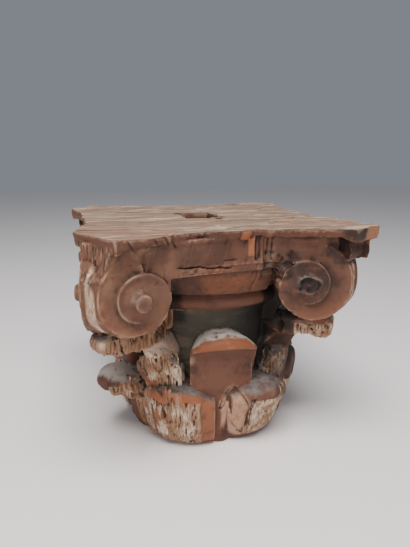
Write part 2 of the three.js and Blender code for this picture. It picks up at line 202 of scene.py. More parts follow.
# The volutes stand in pairs on the four corners, their faces turned towards the middle of each side.
# Each is a coil that climbs out of the block in steps like a snail, with a boss for its eye.
VOLUTE = {
    "height": 252, "turn": 12, "strip": 25.5, "hollow": 4, "depth": 32, "radius": 61.5, "closing": 0.001494,
    "step": 7, "eye": 12, "eye_proud": 7, "inner": 42, "top": 324, "root": 108, "root_half": 30,
}
CORNERS = [
    {"azimuth": -45, "reach": 276, "outer": 54, "swell": 0},
    {"azimuth": 45, "reach": 247.5, "outer": 65, "swell": 0.2},
    {"azimuth": 135, "reach": 252, "outer": 59, "swell": 0.1},
    {"azimuth": -135, "reach": 262, "outer": 57, "swell": 0.05},
]
COIL_TURNS = 144
SPIRAL = {"from": 24, "to": 262, "steps": 95, "below": 80}
STALK = {"foot": 180, "top": 262, "half": 13, "foot_reach": 127, "top_reach": 165}
FACE_SLOPE = math.radians(45 - VOLUTE["turn"])


def on_face(corner, side, out, proud, up):
    """A place on a volute's face: out towards the horn, proud of the face, and up from the eye."""
    rho = corner["reach"] - corner["outer"] * math.cos(FACE_SLOPE)
    across = VOLUTE["strip"] / 2 + corner["outer"] * math.sin(FACE_SLOPE)
    rho = rho + out * math.cos(FACE_SLOPE) + proud * math.sin(FACE_SLOPE)
    across = side * (across - out * math.sin(FACE_SLOPE) + proud * math.cos(FACE_SLOPE))
    return in_corner(corner, rho, across, VOLUTE["height"] + up)


def in_corner(corner, rho, across, z):
    out, beside = polar(corner["azimuth"], 1, 0), polar(corner["azimuth"] + 90, 1, 0)
    rho, across, z = np.broadcast_arrays(rho, across, z)
    return rho[..., None] * out + across[..., None] * beside + np.stack([0 * z, 0 * z, z], axis=-1)


def face_line(corner, distance):
    """Where the face's plan line is, this far in from the rim."""
    across = VOLUTE["strip"] / 2 + distance * math.sin(FACE_SLOPE)
    return (corner["reach"] - distance * math.cos(FACE_SLOPE), across)


def band_outline():
    """The plain band's plan: bowed between the volutes and drawn back behind each horn."""
    points = []
    for corner, following in zip(CORNERS, CORNERS[1:] + CORNERS[:1]):
        ends = [
            in_corner(owner, *(np.array(place) * (1, side)), 0)[:2]
            for owner, side in ((corner, 1), (following, -1))
            for place in (face_line(owner, BAND["back"]), face_line(owner, owner["outer"] + VOLUTE["inner"]))
        ]
        rim, inner, next_rim, next_inner = ends
        middle = (inner + next_inner) / 2 * BAND["bow"]
        t = np.linspace(0, 1, 60)[:, None]
        points += [[rim], inner * (1 - t) ** 2 + middle * 2 * t * (1 - t) + next_inner * t**2, [next_rim]]
    return np.concatenate(points)


def coil_radius(angle, swell=0):
    """The spiral's radius after a turn in degrees, from straight up and then out towards the horn."""
    bulge = np.where((angle > 10) & (angle < 210), swell * np.sin(np.radians((angle - 10) * 0.9)), 0)
    return VOLUTE["radius"] * np.exp(-VOLUTE["closing"] * angle) * (1 + bulge)


def inner_coil_radius(angle):
    blend = smooth(185, 275, angle)
    return coil_radius(angle + 360) * (1 - blend) + coil_radius(angle) * blend


def coil_step(angle):
    return VOLUTE["step"] * (1 - smooth(120, 215, angle) * (1 - smooth(215, 300, angle)))


def inner_coil_height(angle, radius, eye_proud):
    """How far the raised coil and the eye stand proud of the face."""
    rim = inner_coil_radius(angle)
    swirl = np.radians(angle - 15)
    ledge = VOLUTE["eye"] + 5 * np.clip(np.cos(swirl * 0.8), 0, 1) + 0.6
    slope = smooth(0, 1, (rim - radius) / (rim - VOLUTE["eye"] - 5))
    height = coil_step(angle) * (1 - slope) + VOLUTE["step"] * slope
    channel = np.clip((rim - radius) / (rim - ledge), 0, 1)
    height = height - 1.8 * np.sin(np.pi * channel) ** 2
    height = height + 1.0 * np.exp(-(((rim - 2.2 - radius) / 1.6) ** 2)) * coil_step(angle) / VOLUTE["step"]
    height = height + 2.6 * (1 - smooth(ledge - 0.9, ledge + 0.9, radius))
    eye = VOLUTE["eye"] - 0.5
    dome = 1.2 * (1 - np.clip(radius / eye, 0, 1) ** 2)
    return height + (eye_proud + dome) * (1 - smooth(eye - 0.7, eye + 0.7, radius))


def inner_coil(corner, side, eye_proud):
    angle = np.linspace(0, 360, COIL_TURNS, endpoint=False)
    rim = inner_coil_radius(angle)
    turn = np.radians(angle)
    rings = []
    for share, sunk in [(1.0, True)] + [(share, False) for share in np.linspace(1, 0.02, 34)]:
        radius = rim * share
        proud = -VOLUTE["depth"] / 2 if sunk else inner_coil_height(angle, radius, eye_proud)
        rings.append(on_face(corner, side, radius * np.sin(turn), proud, radius * np.cos(turn)))
    return lofted("coil", rings)


def volute_block(corner):
    """The pair's common body: a wedge in plan, cut to the spiral's outline from the side."""
    rim, inner = face_line(corner, 0), face_line(corner, corner["outer"] + VOLUTE["inner"])
    middle = face_line(corner, corner["outer"])
    depth = VOLUTE["depth"]
    back = (inner[0] - depth * math.sin(FACE_SLOPE), inner[1] - depth * math.cos(FACE_SLOPE))
    half = [rim, inner, back, (VOLUTE["root"], VOLUTE["root_half"])]
    plan = np.array([(rim[0] - VOLUTE["hollow"], 0)] + half + [(rho, -side) for rho, side in half[::-1]])
    foot = VOLUTE["height"] - SPIRAL["below"]
    wedge = lofted("wedge", [in_corner(corner, plan[:, 0], plan[:, 1], z) for z in (foot, VOLUTE["top"])])
    squeeze = math.cos(FACE_SLOPE) * corner["outer"] / coil_radius(np.array(90.0), corner["swell"])
    angle = np.linspace(SPIRAL["from"], SPIRAL["to"], SPIRAL["steps"])
    radius = coil_radius(angle, corner["swell"])
    flat = np.where(angle < 180, squeeze, math.cos(FACE_SLOPE))
    turn = np.radians(angle)
    rho, height = middle[0] + radius * np.sin(turn) * flat, VOLUTE["height"] + radius * np.cos(turn)
    line, top = np.stack([rho, height], axis=-1), VOLUTE["top"] - 1
    line = np.vstack([line, [(VOLUTE["root"], height[-1]), (VOLUTE["root"], top), (rho[0], top)]])
    swept = lofted("swept", [in_corner(corner, line[:, 0], side, line[:, 1]) for side in (-100, 100)])
    cut = wedge.modifiers.new("cut", "BOOLEAN")
    cut.operation, cut.solver, cut.object = "INTERSECT", "EXACT", swept
    finished = baked(wedge)
    bpy.data.objects.remove(swept)
    return finished


def stalk(corner):
    """What carries a pair from the bell, leaning out as it climbs."""
    sides = np.array([-1, -1, 1, 1]) * STALK["half"]
    return lofted("stalk", [
        in_corner(corner, np.array([BELL_CORE, reach, reach, BELL_CORE]), sides, z)
        for reach, z in ((STALK["foot_reach"], STALK["foot"]), (STALK["top_reach"], STALK["top"]))
    ])


def baked(piece):
    """The piece as a plain mesh with its modifiers worked in."""
    seen = piece.evaluated_get(bpy.context.evaluated_depsgraph_get())
    mesh = bpy.data.meshes.new_from_object(seen)
    piece.modifiers.clear()
    piece.data = mesh
    return piece


# The bead along each coil's edge is what the carver left standing when the coil was hollowed.
# It follows the spiral, so one tree draws it for all the volutes.
def new_tree(name, sizes, takes_mesh=False):
    """A tree with a named input for each size, and the identifiers that a modifier sets them by."""
    tree = bpy.data.node_groups.new(name, "GeometryNodeTree")
    sockets = [("Geometry", "Geometry", None)] * takes_mesh
    sockets += [(size, "Int" if isinstance(value, int) else "Float", value) for size, value in sizes.items()]
    identifiers = {}
    for size, kind, value in sockets + [("Wood", "Material", None)]:
        socket = tree.interface.new_socket(size, in_out="INPUT", socket_type="NodeSocket" + kind)
        identifiers[size] = socket.identifier
        if value is not None:
            socket.default_value = value
    tree.interface.new_socket("Geometry", in_out="OUTPUT", socket_type="NodeSocketGeometry")
    return tree, identifiers, tree.nodes.new("NodeGroupInput").outputs


def add_node(tree, kind, inputs=None, **settings):
    """A node of this kind with its settings made and its inputs set or linked."""
    node = tree.nodes.new(kind)
    for setting, value in settings.items():
        setattr(node, setting, value)
    for socket, value in (inputs or {}).items():
        if isinstance(value, bpy.types.NodeSocket):
            tree.links.new(value, node.inputs[socket])
        else:
            node.inputs[socket].default_value = value
    return node


def finish_tree(tree, geometry, wood):
    real = add_node(tree, "GeometryNodeRealizeInstances", {0: geometry})
    finished = add_node(tree, "GeometryNodeSetMaterial", {"Geometry": real.outputs[0], "Material": wood})
    add_node(tree, "NodeGroupOutput", {0: finished.outputs[0]})


def rim_tree():
    """One bead on a spiral in a flat plane, from its first angle to its last."""
    tree, identifiers, given = new_tree("coil rim", {
        "First angle": 20.0, "Last angle": 300.0, "Radius": 0.0615, "Closing": 0.0856, "Flatten": 1.0,
        "Swell": 0.0, "First lift": 0.0, "Last lift": 0.0, "Inset": 0.0015, "Bead": 0.0016,
    })

    def calc(operation, *values):
        return add_node(tree, "ShaderNodeMath", dict(enumerate(values)), operation=operation).outputs[0]

    line = add_node(tree, "GeometryNodeCurvePrimitiveLine")
    even = add_node(tree, "GeometryNodeResampleCurve", {"Curve": line.outputs[0], "Count": 90})
    along = add_node(tree, "GeometryNodeSplineParameter").outputs["Factor"]
    span = calc("SUBTRACT", given["Last angle"], given["First angle"])
    angle = calc("ADD", given["First angle"], calc("MULTIPLY", along, span))
    turn = calc("RADIANS", angle)
    bulge = calc("SINE", calc("RADIANS", calc("MULTIPLY", calc("SUBTRACT", angle, 10.0), 0.9)))
    bulge = calc("MULTIPLY", calc("MAXIMUM", bulge, 0.0), given["Swell"])
    bulge = calc("MULTIPLY", bulge, calc("LESS_THAN", angle, 210.0))
    fade = calc("EXPONENT", calc("MULTIPLY", turn, calc("MULTIPLY", given["Closing"], -1.0)))
    radius = calc("MULTIPLY", calc("MULTIPLY", given["Radius"], fade), calc("ADD", bulge, 1.0))
    radius = calc("SUBTRACT", radius, given["Inset"])
    out = calc("MULTIPLY", calc("MULTIPLY", radius, calc("SINE", turn)), given["Flatten"])
    rise = calc("SUBTRACT", given["Last lift"], given["First lift"])
    lift = calc("ADD", given["First lift"], calc("MULTIPLY", rise, along))
    up = calc("MULTIPLY", radius, calc("COSINE", turn))
    place = add_node(tree, "ShaderNodeCombineXYZ", {0: out, 1: lift, 2: up})
    bend = add_node(tree, "GeometryNodeSetPosition", {
        "Geometry": even.outputs[0], "Position": place.outputs[0],
    })
    bead = add_node(tree, "GeometryNodeCurvePrimitiveCircle", {"Resolution": 10, "Radius": given["Bead"]})
    swept = add_node(tree, "GeometryNodeCurveToMesh", {
        "Curve": bend.outputs[0], "Profile Curve": bead.outputs[0], "Fill Caps": True,
    })
    finish_tree(tree, swept.outputs[0], given["Wood"])
    return tree, identifiers


RIM_TREE, RIM_SIZES = rim_tree()
carved_wood = bpy.data.materials.new("carved_wood")


def grown(name, tree, sizes, values, mesh=None):
    """What a tree makes from these sizes, as a plain mesh."""
    seed = bpy.data.objects.new(name, mesh or bpy.data.meshes.new(name))
    bpy.context.scene.collection.objects.link(seed)
    growth = seed.modifiers.new(name, "NODES")
    growth.node_group = tree
    for size, value in values.items():
        growth[sizes[size]] = value
    return baked(seed)


def coil_rim(corner, side, **values):
    """One bead, made flat and then laid on its face."""
    bead = grown("rim", RIM_TREE, RIM_SIZES, {"Wood": carved_wood, **values})
    count = len(bead.data.vertices)
    flat = np.empty(count * 3)
    bead.data.vertices.foreach_get("co", flat)
    flat = flat.reshape(-1, 3) / MM
    laid = on_face(corner, side, flat[:, 0], flat[:, 1], flat[:, 2])
    bead.data.vertices.foreach_set("co", (laid * MM).ravel())
    return bead


plan = band_outline()
carving.append(lofted("band", [
    at_height(plan, BAND["foot"] + 1), at_height(plan, BAND["foot"] + 2), at_height(plan, BAND["top"])
]))
for number, corner in enumerate(CORNERS):
    carving += [volute_block(corner), stalk(corner)]
    flatten = corner["outer"] / float(coil_radius(np.array(90.0), corner["swell"]))
    for side in (1, -1):
        lost_eye = number == 1 and side == -1
        carving.append(inner_coil(corner, side, -4 if lost_eye else VOLUTE["eye_proud"]))
        carving.append(coil_rim(corner, side, **{
            "First angle": 22.0, "Last angle": 182.0, "Swell": float(corner["swell"]), "Flatten": flatten,
        }))

# The lower leaves stand round the foot of the bell, one to each side of every corner.
# Most tips are snapped off, and their faces are torn to bare fibres with the gesso still in them.
SECTIONS = {
    "curled": [
        (BELL_CORE, 0), (BELL_CORE, 98), (124, 102), (150, 108), (170, 110), (186, 104), (194, 93), (191, 82),
        (183, 77), (178, 85), (168, 90), (154, 85), (146, 68), (139, 40), (132, 15), (124, 0),
    ],
    "block": [
        (BELL_CORE, 0), (BELL_CORE, 99), (124, 100), (150, 98), (158, 91), (159, 62), (153, 35), (144, 12),
        (128, 0),
    ],
    "rolled": [
        (BELL_CORE, 0), (BELL_CORE, 98), (124, 102), (148, 102), (164, 96), (171, 85), (167, 72), (157, 58),
        (149, 35), (139, 12), (125, 0),
    ],
    "stump": [
        (BELL_CORE, 0), (BELL_CORE, 112), (128, 120), (152, 118), (156, 100), (151, 66), (142, 56), (137, 30),
        (125, 0),
    ],
}
LOWER_LEAVES = [
    {"azimuth": -31.7, "half": 23.3, "section": "block", "drop": 0.12, "fall": 0.22},
    {"azimuth": 22.5, "half": 21.5, "section": "rolled", "drop": 0.16, "fall": 0.34},
    {"azimuth": -74, "half": 18.5, "section": "curled", "drop": 0.22, "fall": 0.5},
    {"azimuth": 66.5, "half": 20, "section": "stump", "drop": 0.3, "fall": 0.4},
    {"azimuth": 110, "half": 20.5, "section": "curled", "drop": 0.22, "fall": 0.5},
    {"azimuth": 154.5, "half": 21, "section": "rolled", "drop": 0.16, "fall": 0.34},
    {"azimuth": -160.5, "half": 21, "section": "curled", "drop": 0.22, "fall": 0.5},
    {"azimuth": -116, "half": 21, "section": "block", "drop": 0.12, "fall": 0.25},
]
LEAF_ACROSS = 64


def swept_leaf(name, azimuth, half, section, shape, ease=9):
    """Sweeps a section round the bell. shape moves its points for the place across the leaf, -1 to 1,
    and draws them in towards its middle."""
    outline = rounded(section, ease)
    rings = []
    for across in np.linspace(-1, 1, LEAF_ACROSS):
        radius, z, width = shape(outline[:, 0], outline[:, 1], across)
        rings.append(polar(azimuth + half * width * across, radius, z))
    return lofted(name, rings)


def lower_leaf(azimuth, half, section, drop, fall):
    def shape(radius, z, across):
        flute = 1 - 0.05 * (1 - math.cos(4 * math.pi * across)) / 2 * smooth(10, 60, z)
        slump = 8 * smooth(0.35, 1, across) * smooth(70, 95, z) if section == "block" else 0
        reach = (1 - fall * across**2) * flute
        scallop = 0
        if section == "curled":
            scallop = 5 * abs(math.sin(3.5 * math.pi * across)) * smooth(170, 188, radius)
            scallop = scallop * (1 - smooth(78, 98, z))
        return BELL_CORE + (radius - BELL_CORE) * reach, z * (1 - drop * across**2) - scallop - slump, 1

    return swept_leaf("leaf", azimuth, half, SECTIONS[section], shape)


for leaf in LOWER_LEAVES:
    carving.append(lower_leaf(**leaf))

# The corner leaves climb the bell and fling their tips out under the volutes.
# Every tip is torn off, so each ends in drooping fibres.
CORNER_SECTION = [
    (BELL_CORE, 55), (BELL_CORE, 176), (128, 186), (156, 200), (196, 208), (240, 208), (264, 202), (270, 190),
    (256, 181), (228, 181), (196, 174), (170, 159), (152, 136), (146, 108), (141, 80), (134, 58),
]
CORNER_LEAVES = [
    {"azimuth": -45, "half": 16, "tip": 0.94, "right_tip": 0.36, "necks": (178, 184), "crest": 203},
    {"azimuth": 44, "half": 13, "tip": 0.6, "right_tip": 1, "necks": (156, 156), "crest": 198, "hang": 15},
    {"azimuth": 135, "half": 15, "tip": 0.85, "right_tip": 0.8, "necks": (160, 156), "crest": 203, "hang": 4},
    {"azimuth": -135, "half": 15, "tip": 0.9, "right_tip": 1, "necks": (156, 170), "crest": 203, "hang": 2},
]
BEND = {"radius": 150, "tip_round": 0.46, "tip_droop": 8, "stem_round": 0.12}
CREST_LEFT = 0.25
NECK = {"from": 122, "width": 0.12, "flare": 110}


def corner_leaf(azimuth, half, tip, right_tip, necks, crest, hang=0):
    def shape(radius, z, across):
        bend = BEND["radius"]
        flung = smooth(bend - 3, bend + 9, radius)
        cut = np.where(radius > bend, bend + (radius - bend) * tip, radius)
        reach = 1 - (BEND["stem_round"] + (BEND["tip_round"] - BEND["stem_round"]) * flung) * across**2
        drip = 6 * abs(math.sin(4.5 * math.pi * across + 0.7)) * smooth(185, 240, radius)
        drip = drip * (1 - smooth(178, 196, z))
        fan = np.maximum(0, 1 - 1.8 * (across - 0.15) ** 2) * (0.8 + 0.2 * math.cos(9 * across))
        drip = drip + hang * fan * smooth(176, 212, radius) * (1 - smooth(180, 196, z))
        stem = 1 - (1 - NECK["width"]) * smooth(NECK["from"], necks[1] if across > 0 else necks[0], z)
        thrown = np.minimum(right_tip if across > 0 else 1, NECK["width"] + (radius - bend) / NECK["flare"])
        droop = BEND["tip_droop"] * across**2 * flung
        flattened = np.where(z > crest, crest + (z - crest) * CREST_LEFT, z)
        return BELL_CORE + (cut - BELL_CORE) * reach, flattened - droop - drip, np.maximum(stem, thrown)

    return swept_leaf("corner_leaf", azimuth, half, CORNER_SECTION, shape)


for leaf in CORNER_LEAVES:
    carving.append(corner_leaf(**leaf))

# The tongues are the plain arched leaves between the corners, with their curled tips snapped off.
# A rib runs down from each, between two lower leaves.
TONGUE_SECTION = [
    (BELL_CORE, 62), (BELL_CORE, 177), (131, 177), (148, 171), (154, 160), (141, 155), (141, 96), (134, 76),
    (128, 62),
]
TONGUE_FACE = 141
TONGUES = [(-4, 19.5, 0.16), (90, 18, 0.05), (180, 18, 0.08), (-90, 18, 0.05)]
ARCH = {"spring": 144, "round": 0.9, "fade": 6, "curl": 157}
RIB = {"radius": 133, "top": 92, "half": 6, "edge": 5}


def tongue(azimuth, half, flare):
    def shape(radius, z, across):
        arch = math.sqrt(max(0, 1 - ARCH["round"] * across**2))
        proud = np.maximum(radius - TONGUE_FACE, 0) * across ** ARCH["fade"]
        width = 1 + flare * smooth(ARCH["curl"] - 3, ARCH["curl"], z) * (across > 0)
        arched = np.where(z > ARCH["spring"], ARCH["spring"] + (z - ARCH["spring"]) * arch, z)
        return radius - proud, arched, width

    return swept_leaf("tongue", azimuth, half, TONGUE_SECTION, shape, ease=2.5)


def rib_shape(radius, z, across):
    return radius - RIB["edge"] * across**2, z, 1


RIB_SECTION = [
    (BELL_CORE, 0), (BELL_CORE, RIB["top"]), (RIB["radius"] + 6, RIB["top"]), (RIB["radius"], 50),
    (RIB["radius"] - 6, 0),
]
for azimuth, half, flare in TONGUES:
    carving.append(tongue(azimuth, half, flare))
    carving.append(swept_leaf("rib", azimuth, RIB["half"], RIB_SECTION, rib_shape))

# All the carving is one block of wood: the shapes are grown together, and the mortise is cut in the top.
# Where the leaves are torn, slivers of the wood still stand up along the grain.
GRAIN_SIZE = 0.0017
MORTISE = {"x": (-37, 20), "y": (-24, 55), "depth": 70}


def read_points(mesh):
    place, normal = np.empty(len(mesh.vertices) * 3), np.empty(len(mesh.vertices) * 3)
    mesh.vertices.foreach_get("co", place)
    mesh.vertex_normals.foreach_get("vector", normal)
    return place.reshape(-1, 3) / MM, normal.reshape(-1, 3)


def lump(points, size, seed):
    """Smooth random lumps from -1 to 1. size is one length, or three for lumps drawn out along the axes."""
    spot = points / np.broadcast_to(np.asarray(size, float), 3) + seed * np.array([13.7, 7.9, 3.1])
    cell = np.floor(spot).astype(np.int64)
    part = spot - cell
    part = part * part * (3 - 2 * part)
    total = np.zeros(len(points))
    for i in (0, 1):
        for j in (0, 1):
            for k in (0, 1):
                mix = (cell[:, 0] + i) * 73856093 ^ (cell[:, 1] + j) * 19349663 ^ (cell[:, 2] + k) * 83492791
                mix = ((mix ^ (mix >> 13)) * 1274126177) & 0xFFFFFFFF
                mix = ((mix ^ (mix >> 16)) * 2246822519) & 0xFFFFFFFF
                weight = 1.0
                for axis, on in zip(range(3), (i, j, k)):
                    weight = weight * (part[:, axis] if on else 1 - part[:, axis])
                total += weight * (mix / 2147483648.0 - 1)
    return total


def turn_from(azimuth, middle):
    return (azimuth - middle + 180) % 360 - 180


# Where the lower leaves are torn to fibres: azimuths, heights and how badly.
TORN_FACES = [
    (-43, -18, 3, 76, 1.0), (13, 42, 14, 74, 0.9), (-66, -47, 6, 84, 0.9), (48, 86, 6, 92, 0.8),
    (92, 129, 6, 84, 0.8), (136, 160, 6, 66, 0.7), (-180, -142, 6, 80, 0.8), (-136, -96, 4, 84, 0.9),
]


def area(spot, **limits):
    """1 inside all the limits. Each is low, high and how far it fades outside them, 0 for a sharp end."""
    inside = 1.0
    for measure, (low, high, soft) in limits.items():
        value = spot[measure]
        inside = inside * (within(value, low, high, soft) if soft else (value > low) & (value < high))
    return inside


def most(*masks):
    return np.maximum.reduce(np.broadcast_arrays(*masks))


FRONT_HALF = (-999, 0, 0)
MIDRIB = {"middle": -44, "slant": 0.59, "at": 88, "half": 3.2}
MARGIN = {"middle": -46, "slant": 0.53, "at": 173, "left": 5, "right": 3}


def fields(place, normal):
    """Where each kind of surface is, 0 to 1, and the measures it is found by."""
    x, y, z = place.T
    azimuth, radius = np.degrees(np.arctan2(x, -y)), np.hypot(x, y)
    outward = (normal[:, 0] * x + normal[:, 1] * y) / np.maximum(radius, 1)
    sideways = 1 - smooth(0.35, 0.7, np.abs(normal[:, 2]))
    found = {"x": x, "y": y, "z": z, "azimuth": azimuth, "radius": radius, "sideways": sideways}
    found["top"] = smooth(HEIGHT - 9, HEIGHT - 4, z) * smooth(0.35, 0.75, normal[:, 2])
    found["slab_edge"] = smooth(HEIGHT - 24, HEIGHT - 18, z) * (1 - smooth(0.3, 0.7, normal[:, 2]))
    found["slab_edge"] *= smooth(150, 160, radius)
    found["front"] = smooth(0.3, 0.6, -normal[:, 1]) * (y < -100)
    found["bell"] = (1 - smooth(120, 126, radius)) * within(z, 60, 211, 3)
    found["lip"] = area(found, radius=(124, 164, 2), z=(213, 279, 2))
    # The front left corner leaf keeps a smooth midrib and a smooth strip down its right edge.
    from_rib = azimuth - MIDRIB["middle"] + (z - MIDRIB["at"]) * MIDRIB["slant"]
    midrib = within(from_rib, -MIDRIB["half"], MIDRIB["half"], 1.5) * within(z, 76, 134, 6) * (azimuth < -38)
    found["midrib"] = midrib * area(found, radius=(118, 999, 0), y=FRONT_HALF)
    from_edge = azimuth - MARGIN["middle"] - (MARGIN["at"] - z) * MARGIN["slant"]
    margin = within(from_edge, -MARGIN["left"], MARGIN["right"], 1.5) * within(z, 138, 178, 3)
    found["margin"] = margin * area(found, radius=(112, 175, 0), y=FRONT_HALF)
    torn = np.zeros(len(place))
    for low, high, floor, ceiling, strength in TORN_FACES:
        torn = most(torn, strength * within(azimuth, low, high, 2) * within(z, floor, ceiling, 5))
    torn = torn * smooth(0.1, 0.4, outward)
    for leaf in CORNER_LEAVES:
        near = 1 - smooth(leaf["half"], leaf["half"] + 3, np.abs(turn_from(azimuth, leaf["azimuth"])))
        near = near * within(z, 72, 206, 4) * (radius > 118)
        torn = most(torn, near * (1 - smooth(0.6, 0.9, normal[:, 2])))
    # The front right corner leaf is only torn at its tip and low on its stem.
    found["dull"] = area(found, azimuth=(26, 66, 2), z=(72, 210, 3), radius=(0, 176, 0), y=FRONT_HALF)
    torn = torn * (1 - found["dull"] * (1 - within(z, 60, 132, 5) * (azimuth < 44)))
    torn = torn * (1 - area(found, x=(0, 999, 0), y=FRONT_HALF, radius=(150, 999, 0)) * smooth(187, 192, z))
    found["torn"] = torn * (radius > 116) * (1 - most(found["midrib"], found["margin"]))
    found["strip"] = found["face"] = np.zeros(len(place))
    half_strip = VOLUTE["strip"] / 2
    for corner in CORNERS:
        out, beside = polar(corner["azimuth"], 1, 0), polar(corner["azimuth"] + 90, 1, 0)
        rho, across = place @ out, np.abs(place @ beside)
        near = 1 - smooth(half_strip - 7, half_strip - 4, across)
        found["strip"] = most(found["strip"], near * (rho > 196) * within(z, 194, 306, 5))
        on_volute = (rho > 150) * (across > half_strip + 1) * within(z, 190, 322, 3)
        found["face"] = most(found["face"], on_volute * sideways)
    # The snapped horn's torn face narrows as it runs down into the left volute.
    horn = within(x, -215, -163 - 0.45 * (322 - z), 2) * area(found, y=(-225, -128, 5), z=(280, 320, 4))
    found["horn"] = horn * sideways
    found["face"] = found["face"] * (1 - horn)
    found["slab_edge"] *= 1 - 0.7 * area(found, x=(-215, -150, 4), y=(-999, -120, 0))
    return found


def add_layer(mesh, name, values):
    """Keeps a number for every point of the mesh."""
    layer = mesh.attributes.get(name) or mesh.attributes.new(name, "FLOAT", "POINT")
    layer.data.foreach_set("value", np.asarray(values, np.float32))


def sliver_tree():
    """Stands tapered slivers of wood on the torn faces, nearly upright, and leaves the carving in."""
    tree, identifiers, given = new_tree("slivers", {
        "To the square metre": 5000.0, "Thickness": 0.0013, "Length": 0.013, "Lean": 0.2, "Seed": 7,
    }, takes_mesh=True)
    torn = add_node(tree, "GeometryNodeInputNamedAttribute", {"Name": "torn"})
    density = add_node(tree, "ShaderNodeMath", {
        0: torn.outputs["Attribute"], 1: given["To the square metre"],
    }, operation="MULTIPLY")
    spread = add_node(tree, "GeometryNodeDistributePointsOnFaces", {
        "Mesh": given["Geometry"], "Density": density.outputs[0], "Seed": given["Seed"],
    })
    sliver = add_node(tree, "GeometryNodeMeshCone", {
        "Vertices": 6, "Radius Top": 0.25, "Radius Bottom": 1.0, "Depth": 1.0,
    })
    tilt = add_node(tree, "ShaderNodeCombineXYZ", {0: given["Lean"], 1: given["Lean"], 2: math.pi})
    back = add_node(tree, "ShaderNodeVectorMath", {0: tilt.outputs[0]}, operation="SCALE")
    back.inputs["Scale"].default_value = -1
    lean = add_node(tree, "FunctionNodeRandomValue", data_type="FLOAT_VECTOR")
    tree.links.new(back.outputs[0], lean.inputs["Min"])
    tree.links.new(tilt.outputs[0], lean.inputs["Max"])
    size = add_node(tree, "FunctionNodeRandomValue", {2: 0.55, 3: 1.5, "Seed": 3}, data_type="FLOAT")
    shape = add_node(tree, "ShaderNodeCombineXYZ", {
        0: given["Thickness"], 1: given["Thickness"], 2: given["Length"],
    })
    scaled = add_node(tree, "ShaderNodeVectorMath", {
        0: shape.outputs[0], "Scale": size.outputs[1],
    }, operation="SCALE")
    placed = add_node(tree, "GeometryNodeInstanceOnPoints", {
        "Points": spread.outputs["Points"], "Instance": sliver.outputs["Mesh"], "Rotation": lean.outputs[0],
        "Scale": scaled.outputs[0],
    })
    both = add_node(tree, "GeometryNodeJoinGeometry", {0: given["Geometry"]})
    tree.links.new(placed.outputs[0], both.inputs[0])
    finish_tree(tree, both.outputs[0], given["Wood"])
    return tree, identifiers


block = carving[0]
joined = {"active_object": block, "selected_editable_objects": carving, "selected_objects": carving}
with bpy.context.temp_override(**joined):
    bpy.ops.object.join()
block.name = "carved_capital"
place, normal = read_points(block.data)
add_layer(block.data, "torn", fields(place, normal)["torn"] ** 3)
standing = grown("slivers", *sliver_tree(), {"Wood": carved_wood}, block.data)
block.data = standing.data
bpy.data.objects.remove(standing)
fuse = block.modifiers.new("fuse", "REMESH")
fuse.mode, fuse.voxel_size, fuse.use_smooth_shade = "VOXEL", GRAIN_SIZE, True
baked(block)


def grid_box(name, low, high, spacing):
    """A closed box whose faces are divided into small squares."""
    work = bmesh.new()
    size = [h - l for l, h in zip(low, high)]
    bmesh.ops.create_cube(work, size=1)
    bmesh.ops.subdivide_edges(work, edges=work.edges[:], cuts=int(max(size) / spacing), use_grid_fill=True)
    for vertex in work.verts:
        for axis in range(3):
            vertex.co[axis] = (low[axis] + (vertex.co[axis] + 0.5) * size[axis]) * MM
    mesh = bpy.data.meshes.new(name)
    work.to_mesh(mesh)
    work.free()
    box = bpy.data.objects.new(name, mesh)
    bpy.context.scene.collection.objects.link(box)
    return box


pocket = grid_box(
    "pocket", (MORTISE["x"][0], MORTISE["y"][0], HEIGHT - MORTISE["depth"]),
    (MORTISE["x"][1], MORTISE["y"][1], HEIGHT + 20), 2.5,
)
cut = block.modifiers.new("mortise", "BOOLEAN")
cut.operation, cut.solver, cut.object = "DIFFERENCE", "MANIFOLD", pocket
baked(block)
bpy.data.objects.remove(pocket)


# The surface is worked over next: tool marks, the open grain of the top, torn fibres, cracks and seams.
place, normal = read_points(block.data)
ends = np.empty(len(block.data.edges) * 2, np.int64)
block.data.edges.foreach_get("vertices", ends)
ends = ends.reshape(-1, 2)
degree = np.bincount(ends.ravel(), minlength=len(place)).astype(float)


def neighbour_mean(values):
    total = np.zeros_like(values)
    for a, b in ((0, 1), (1, 0)):
        for axis in range(values.shape[1]):
            total[:, axis] += np.bincount(ends[:, a], weights=values[ends[:, b], axis], minlength=len(values))
    return total / np.maximum(degree, 1)[:, None]


def rough(points, *lumps):
    """Lumps laid over each other, each a depth, a size and a seed."""
    return sum(depth * lump(points, size, seed) for depth, size, seed in lumps)


# The front band runs into the volutes without a step.
x, y, z = place.T
blended = (within(x, -152, -108, 6) + within(x, 84, 112, 6)) * within(z, 301, 316, 3) * (y < -120)
eased = place
for _ in range(60):
    eased = neighbour_mean(eased)
place = place + (eased - place) * blended[:, None]
where = fields(place, normal)
x, y, z = place.T
azimuth, radius = where["azimuth"], where["radius"]
bent = place + 3.5 * np.column_stack([lump(place, (17, 17, 34), seed) for seed in (31, 32, 33)])


def strands(width, length, seed, points=bent):
    """Upright strands with sharp crests, -1 to 1."""
    return 1 - 2 * np.abs(lump(points, (width, width, length), seed))


def slanted(lean):
    """The points pushed over sideways as they climb, so that marks on them lean."""
    return np.column_stack([x + lean * z, y, z])


push = rough(place, (0.4, 26, 1), (0.14, 7, 2))
